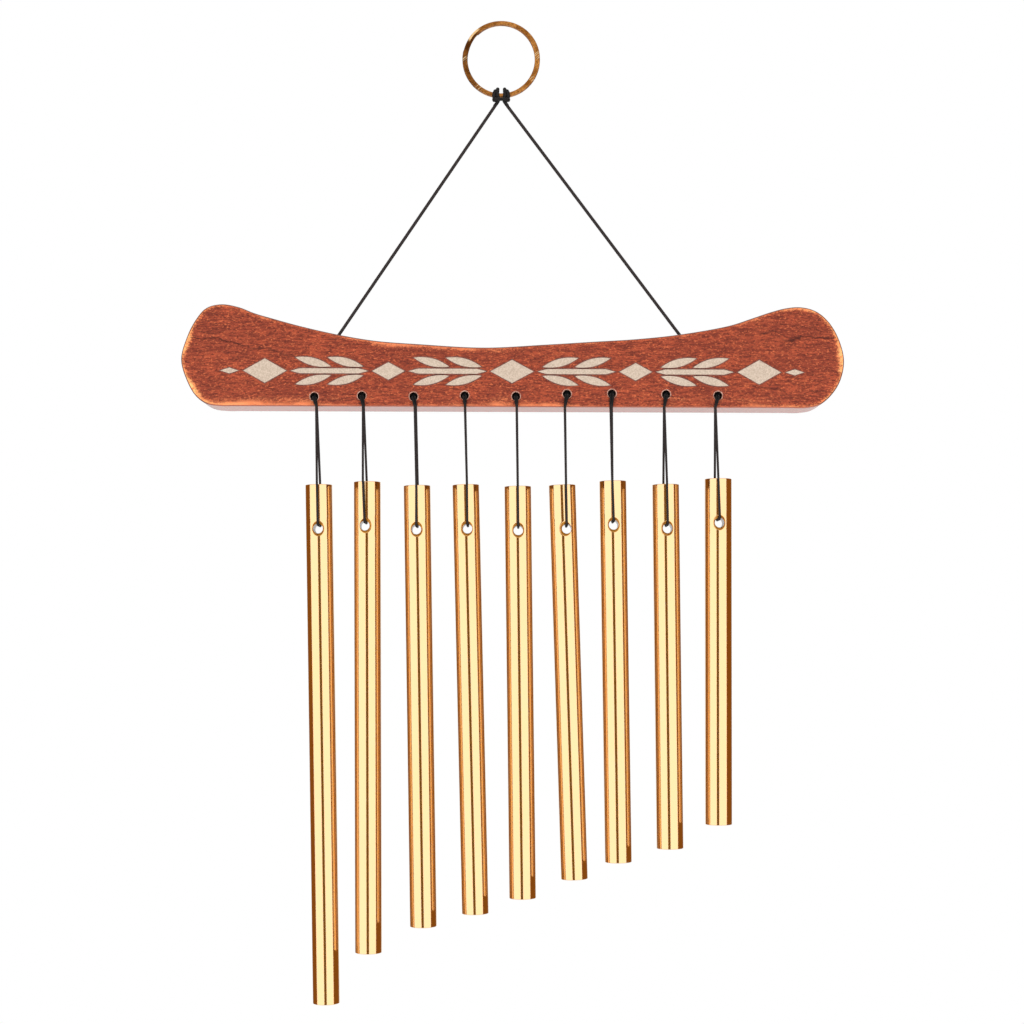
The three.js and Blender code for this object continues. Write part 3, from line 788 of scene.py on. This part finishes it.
def knotPiece(name, middle):
    # a ball whose radius rises where either of two opposite families of spirals passes
    turn = np.linspace(0, 2 * math.pi, knotShape["sides"], endpoint=False)[None, :]
    tip = np.linspace(0, math.pi, knotShape["rows"] + 2)[1:-1, None]
    strands, winds = knotShape["strands"] * turn, knotShape["winds"] * tip
    lump = np.maximum(np.cos(strands + winds), np.cos(strands - winds))
    reach = knotShape["reach"] * (1 - knotShape["relief"] + knotShape["relief"] * lump)
    shell = np.stack([reach * np.sin(tip) * np.cos(turn), -knotShape["long"] * reach * np.cos(tip),
                      reach * np.sin(tip) * np.sin(turn)], axis=-1)
    points, faceSets = capped(shell, [[0, -knotShape["tip"], 0], [0, knotShape["tip"], 0]])
    place = fromBar(points + [middle[0], front + knotShape["deep"], middle[1]])
    lifts = np.append(0.5 + 0.5 * lump, [0.5, 0.5])
    return makePiece(name, place, faceSets, [cordFinish], 180, values={"lift": lifts})


for number, chime in enumerate(chimeTable, 1):
    knot = knotPiece("loop_knot_%d" % number, chime["hole"])
    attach(knot, "bar")


# Ornament: a straight branch of pointed strokes, lozenges and paired leaves along the bar's front

inlay = {"line": 13.2, "height": 0.05, "outline": 0.42, "outlineHeight": 0.02, "sunk": 0.03, "rimShare": 0.97,
         "growAlong": 1.6, "leafPower": 0.85, "steps": 33, "leaves": (11.5, 23.5, 55.5, 67.5),
         "leaf": (13, 1.7, 5.0, 1.45)}
# start, end and half width of the strokes on the ornament's line, and the kind: 1 a lozenge, 0 a leaf,
# between them an even stroke that closes over that share of its length at each end
branches = [(9.6, 38.4, 0.95, 0.12), (53.6, 82.4, 0.95, 0.12), (101.8, 108.6, 1.1, 1.0), (40, 52, 3.3, 1.0),
            (84, 100, 4.6, 1.0)]
strokes = [(-8, 0, 8, 0, 4.4, 1.0)]
for side in (-1, 1):
    strokes += [(side * start, 0, side * end, 0, half, kind) for start, end, half, kind in branches]
    run, low, high, half = inlay["leaf"]
    strokes += [(side * root, way * low, side * (root + run), way * high, half, 0)
                for root in inlay["leaves"] for way in (-1, 1)]


def strokeShell(stroke, grow, height):
    # a long pad: its half width is the sine of the way along it, or falls evenly from the middle,
    # or stays even and closes at the ends, and its rim goes a little into the wood
    x0, z0, x1, z1, half, kind = stroke
    start, end = np.array([x0, z0]), np.array([x1, z1])
    along = unit(end - start)
    longer = along * grow * inlay["growAlong"]
    start, end = start - longer, end + longer
    share = np.linspace(0, 1, inlay["steps"])
    if kind == 0:
        width = np.sin(math.pi * share) ** inlay["leafPower"]
    elif kind == 1:
        width = 1 - np.abs(2 * share - 1)
    else:
        width = np.minimum(1, np.minimum(share, 1 - share) / kind)
    side = np.array([-along[1], along[0]]) * (half + grow) * width[:, None]
    line = start + (end - start) * share[:, None] + [0, inlay["line"]]
    rim, sunken = inlay["rimShare"], inlay["sunk"]
    profile = ((-1, sunken), (-rim, -height), (0, -height), (rim, -height), (1, sunken))
    grid = np.array([np.insert(line + side * off, 1, front + depth, axis=1) for off, depth in profile])
    points, [faces] = sheet(grid)
    return points, [faces[:, ::-1] if along[0] < 0 else faces]


inlayFinish = speckled("paleInlay", (2200.0, 3.0), (0.3, 0.7), (164, 145, 127), (190, 171, 152),
                       (0.00003, 0.4), Roughness=0.55)
outlineFinish = speckled("burntOutline", (1800.0, 3.0), (0.3, 0.7), (70, 34, 26), (118, 66, 50),
                         Roughness=0.7)
layers = (("inlay_outline", outlineFinish, inlay["outline"], inlay["outlineHeight"]),
          ("inlay", inlayFinish, 0.0, inlay["height"]))
for name, finish, grow, height in layers:
    points, faceSets = joined([strokeShell(stroke, grow, height) for stroke in strokes])
    piece = makePiece(name, fromBar(points), faceSets, [finish], 30)
    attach(piece, "bar")
print("ornament made")


# Stage: pale floor that fades into the white behind, soft boxes either side of the camera, and
# bright cards and amber flags round the chime that only reflections see

stage = {"floorZ": -1100.0, "floorHalf": 6000.0, "fill": 0.55}


def openRays(shade):
    # 1 for the camera's own rays and those of reflections and glass, 0 for soft light
    rays = [shade.node("ShaderNodeLightPath", output=name)
            for name in ("Is Camera Ray", "Is Glossy Ray", "Is Transmission Ray")]
    return rays[0].atLeast(rays[1]).atLeast(rays[2])


scene.world = bpy.data.worlds.new("studio")
shade = Shade(scene.world)
strength = openRays(shade) * (1.0 - stage["fill"]) + stage["fill"]
light = shade.node("ShaderNodeBackground", inputs={"Color": (1, 1, 1, 1), "Strength": strength})
shade.out(light, "ShaderNodeOutputWorld")

floorFinish, shade = finishOf("paleFloor")
across, depth, _ = shade.parts(shade.place())
near = 1.0 - ((across * across + depth * depth) ** 0.5).rise(0.6, 1.8)
lit = shade.node("ShaderNodeBsdfDiffuse", inputs={"Color": (0.92, 0.92, 0.92, 1)})
bright = shade.node("ShaderNodeEmission", inputs={"Color": (1, 1, 1, 1), "Strength": 1.0})
faded = openRays(shade) * (1.0 - 0.35 * near)
shade.out(shade.node("ShaderNodeMixShader", inputs={0: faded, 1: lit, 2: bright}))
corners = np.array([[-1, -1], [1, -1], [1, 1], [-1, 1]]) * stage["floorHalf"]
corners = np.insert(corners, 2, stage["floorZ"], axis=1)
floor = makePiece("floor", corners, [np.array([[0, 1, 2, 3]])], [floorFinish])

softBox = {"across": 0.62, "depth": -0.95, "up": -0.05, "size": (0.75, 1.3), "power": 9.0}  # in metres
for side, word in ((-1, "left"), (1, "right")):
    lampData = bpy.data.lights.new("box_" + word, "AREA")
    lampData.shape = "RECTANGLE"
    lampData.size, lampData.size_y = softBox["size"]
    lampData.energy = softBox["power"]
    spot = (side * softBox["across"], softBox["depth"], softBox["up"])
    lamp = placed("box_" + word, lampData, spot, (quarter, 0, math.atan2(spot[0], -spot[1])))
    lamp.visible_camera = lamp.visible_glossy = False

bright, amber, brown = (1.6, 1.65, 1.75), (0.27, 0.11, 0.02), (0.20, 0.11, 0.03)
flags = [
    # name, turns in degrees round the chime from the camera's side, heights and distance in mm, colour
    ("card_left", (-80, -13), (-900, 150), 900.0, bright),
    ("card_right", (3, 70), (-900, 150), 905.0, bright),
    ("flag_left", (-150, -80), (-1000, 900), 910.0, amber),
    ("flag_right", (70, 150), (-1000, 900), 910.0, amber),
    ("flag_centre", (-15.5, 5.5), (-900, 150), 895.0, brown),
]
flagSteps = 24
for name, turns, heights, out, colour in flags:
    flagFinish, shade = finishOf(name)
    shade.out(shade.node("ShaderNodeEmission", inputs={"Color": (*colour, 1), "Strength": 1.0}))
    turn = np.radians(np.linspace(*turns, flagSteps)) - quarter
    card = makePiece(name, *sheet(roundAxis(out, turn, np.array(heights)[:, None])), [flagFinish])
    card.visible_camera = card.visible_diffuse = card.visible_shadow = card.visible_transmission = False
print("stage set")


# Rods: a turned skin that opens round the cross bore, front and back, and the bore's own wall

goldFinish, shade = finishOf("goldAnodised")
place = shade.place()
drawn = shade.noise(shade.stretched(place, (1.0, 1.0, 0.02)), 1500.0, 2.0)
cloud = shade.noise(place, 60.0, 2.0)
goldColour = shade.mix((cloud * 1.4 - 0.2).clamped(), (231.1, 175.2, 84.6), (227.2, 171.5, 77.4))
shade.surface(Base_Color=goldColour, Metallic=1.0, Roughness=0.10 + drawn * 0.05, Coat_Weight=1.0,
              Coat_Roughness=0.06, Coat_IOR=2.6, Normal=shade.bump(drawn, 0.000004, 0.5))

bareFinish, shade = finishOf("bareAluminium")
rings = shade.noise(shade.stretched(shade.place(), (1.0, 6.0, 1.0)), 900.0, 3.0)
shade.surface(Base_Color=(0.62, 0.60, 0.58, 1), Metallic=1.0, Roughness=0.3 + rings * 0.25,
              Normal=shade.bump(rings, 0.00002, 0.5))

flareFinish = speckled("goldFlare", (1600.0, 2.0), (0.35, 0.65), (150, 92, 30), (205, 142, 60),
                       (0.00001, 0.5), Metallic=1.0, Roughness=0.35)


# windows of the skin's grid round the mouths of the bore, counted in columns and rows of the grid
mouth = {"columns": 128, "windowHalf": 20, "windowUp": 4.0, "upRows": 10, "fanRows": 9, "fanPower": 0.8,
         "leastFlare": 0.05, "rounds": 12, "wallRows": 5}


def mouthBorder():
    # the window's border walked round: (sideways on the round, up) at each corner of the grid
    acrossSteps = 2 * mouth["windowHalf"]
    reach = math.pi * acrossSteps / mouth["columns"] * rodShape["radius"]
    corners = np.array([[-1, -1], [1, -1], [1, 1], [-1, 1], [-1, -1]]) * [reach, mouth["windowUp"]]
    steps = [acrossSteps, mouth["upRows"]] * 2
    return np.concatenate([np.linspace(start, end, count, endpoint=False)
                           for start, end, count in zip(corners[:-1], corners[1:], steps)])


mouthLine = mouthBorder()


def mouthTurns(way):
    # turn round the bore of each corner of the border
    radius = rodShape["radius"]
    return np.arctan2(mouthLine[:, 1], way * radius * np.sin(mouthLine[:, 0] / radius))


def boreRim(turn, beside):
    # where the flare's cone meets the rod's round side: its reach from the bore's axis at each turn,
    # found by going back and forth between the two a few times
    radius, flare, bore = rodShape["radius"], rodShape["flare"], rodShape["bore"]
    slope = (flare - bore) / rodShape["flareDepth"]
    reach = np.full_like(turn, flare)
    for _ in range(mouth["rounds"]):
        side = beside + reach * np.cos(turn)
        reach = flare - slope * (radius - np.sqrt(radius**2 - side**2))
        reach = reach.clip(bore + mouth["leastFlare"])
    return reach


def rodShell(length, beside):
    # gold skin: a turned profile with round edges at both ends, on a grid of turns and heights; a
    # square window of the grid round each mouth of the bore is a fan of rows from its border to the rim
    radius, top, edge = rodShape["radius"], rodShape["boreDrop"], rodShape["edge"]
    columns, half, windowUp = mouth["columns"], mouth["windowHalf"], mouth["windowUp"]
    turns = 2 * math.pi * np.arange(columns) / columns - quarter
    shells = []
    bend = np.linspace(0, quarter, rodShape["edgeRows"] + 1)[1:]
    turned = np.stack([radius - edge + edge * np.cos(bend), edge * np.sin(bend) - edge], axis=1)
    turned = np.concatenate([turned, [[ring, 0] for ring in rodShape["endRings"]]])
    for way, end, count in zip((1, -1), (top, top - length), rodShape["rows"]):
        straight = np.linspace(way * windowUp, end - way * edge, count)
        rows = np.concatenate([[[radius, height] for height in straight], turned * [1, way] + [0, end]])
        grid = roundAxis(rows[:, :1], turns, rows[:, 1:])
        last = np.arange(columns) + (len(rows) - 1) * columns
        sides, fan = gridFaces(len(rows), columns, wrap=True), fanFaces(last, len(rows) * columns)
        points = np.concatenate([grid.reshape(-1, 3), [[0, 0, end]]])
        shells.append((points, [fan[:, ::way], sides[:, ::way]]))
    for middle, way in ((0, 1), (columns // 2, -1)):
        # between the two windows
        angle = turns[np.arange(middle + half, middle + columns // 2 - half + 1) % columns]
        height = np.linspace(-windowUp, windowUp, mouth["upRows"] + 1)
        shells.append(sheet(roundAxis(radius, angle, height[:, None])))
        # the window itself: its border, then rows closing in on the rim
        around = mouthTurns(way)
        rim = boreRim(around, beside)
        rimFlat = np.stack([way * radius * np.arcsin((beside + rim * np.cos(around)) / radius),
                            rim * np.sin(around)], axis=1)
        share = np.linspace(0, 1, mouth["fanRows"])[:, None, None] ** mouth["fanPower"]
        flat = mouthLine * (1 - share) + rimFlat * share
        grid = roundAxis(radius, flat[..., 0] / radius - way * quarter, flat[..., 1])
        shells.append(sheet(grid, wrap=True))
    return shells


def boreShell(beside):
    # wall of the cross bore with its two flares, from rim to rim along the rod's Y, and the finish of
    # each face: 1 bare, 2 flare
    radius, bore = rodShape["radius"], rodShape["bore"]
    inner = radius - rodShape["flareDepth"]
    around = np.sort(mouthTurns(1))
    rim = boreRim(around, beside)
    rimY = np.sqrt(radius**2 - (beside + rim * np.cos(around)) ** 2)
    share = np.array([0.0, 0.5, 1.0])[:, None]
    flare, flareY = rim * (1 - share) + bore * share, rimY * (1 - share) + inner * share
    wallY = np.linspace(-inner, inner, mouth["wallRows"] + 2)[1:-1, None] + 0 * rim
    reach = np.concatenate([flare, bore + 0 * wallY, flare[::-1]])
    y = np.concatenate([-flareY, wallY, flareY[::-1]])
    grid = np.stack([beside + reach * np.cos(around), y, reach * np.sin(around)], axis=-1)
    finishes = [2, 2] + [1] * (mouth["wallRows"] + 1) + [2, 2]
    points, [faces] = sheet(grid, wrap=True)
    return points, [faces[:, ::-1]], np.repeat(finishes, len(rim))


for number, chime in enumerate(chimeTable, 1):
    *wall, finishes = boreShell(chime["beside"])
    points, faceSets = joined(rodShell(chime["rod"], chime["beside"]) + [wall])
    points = points @ leanTurn(chime["lean"]) + boreMiddle(chime)
    slots = np.zeros(sum(len(faces) for faces in faceSets), int)
    slots[-len(finishes):] = finishes
    finishSlots = [goldFinish, bareFinish, flareFinish]
    rod = makePiece("chime_rod_%d" % number, points, faceSets, finishSlots, 32, slots)
    weld(rod)
    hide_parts("rod_%d" % number)
    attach(rod, "chime_%d" % number)
print("rods made")
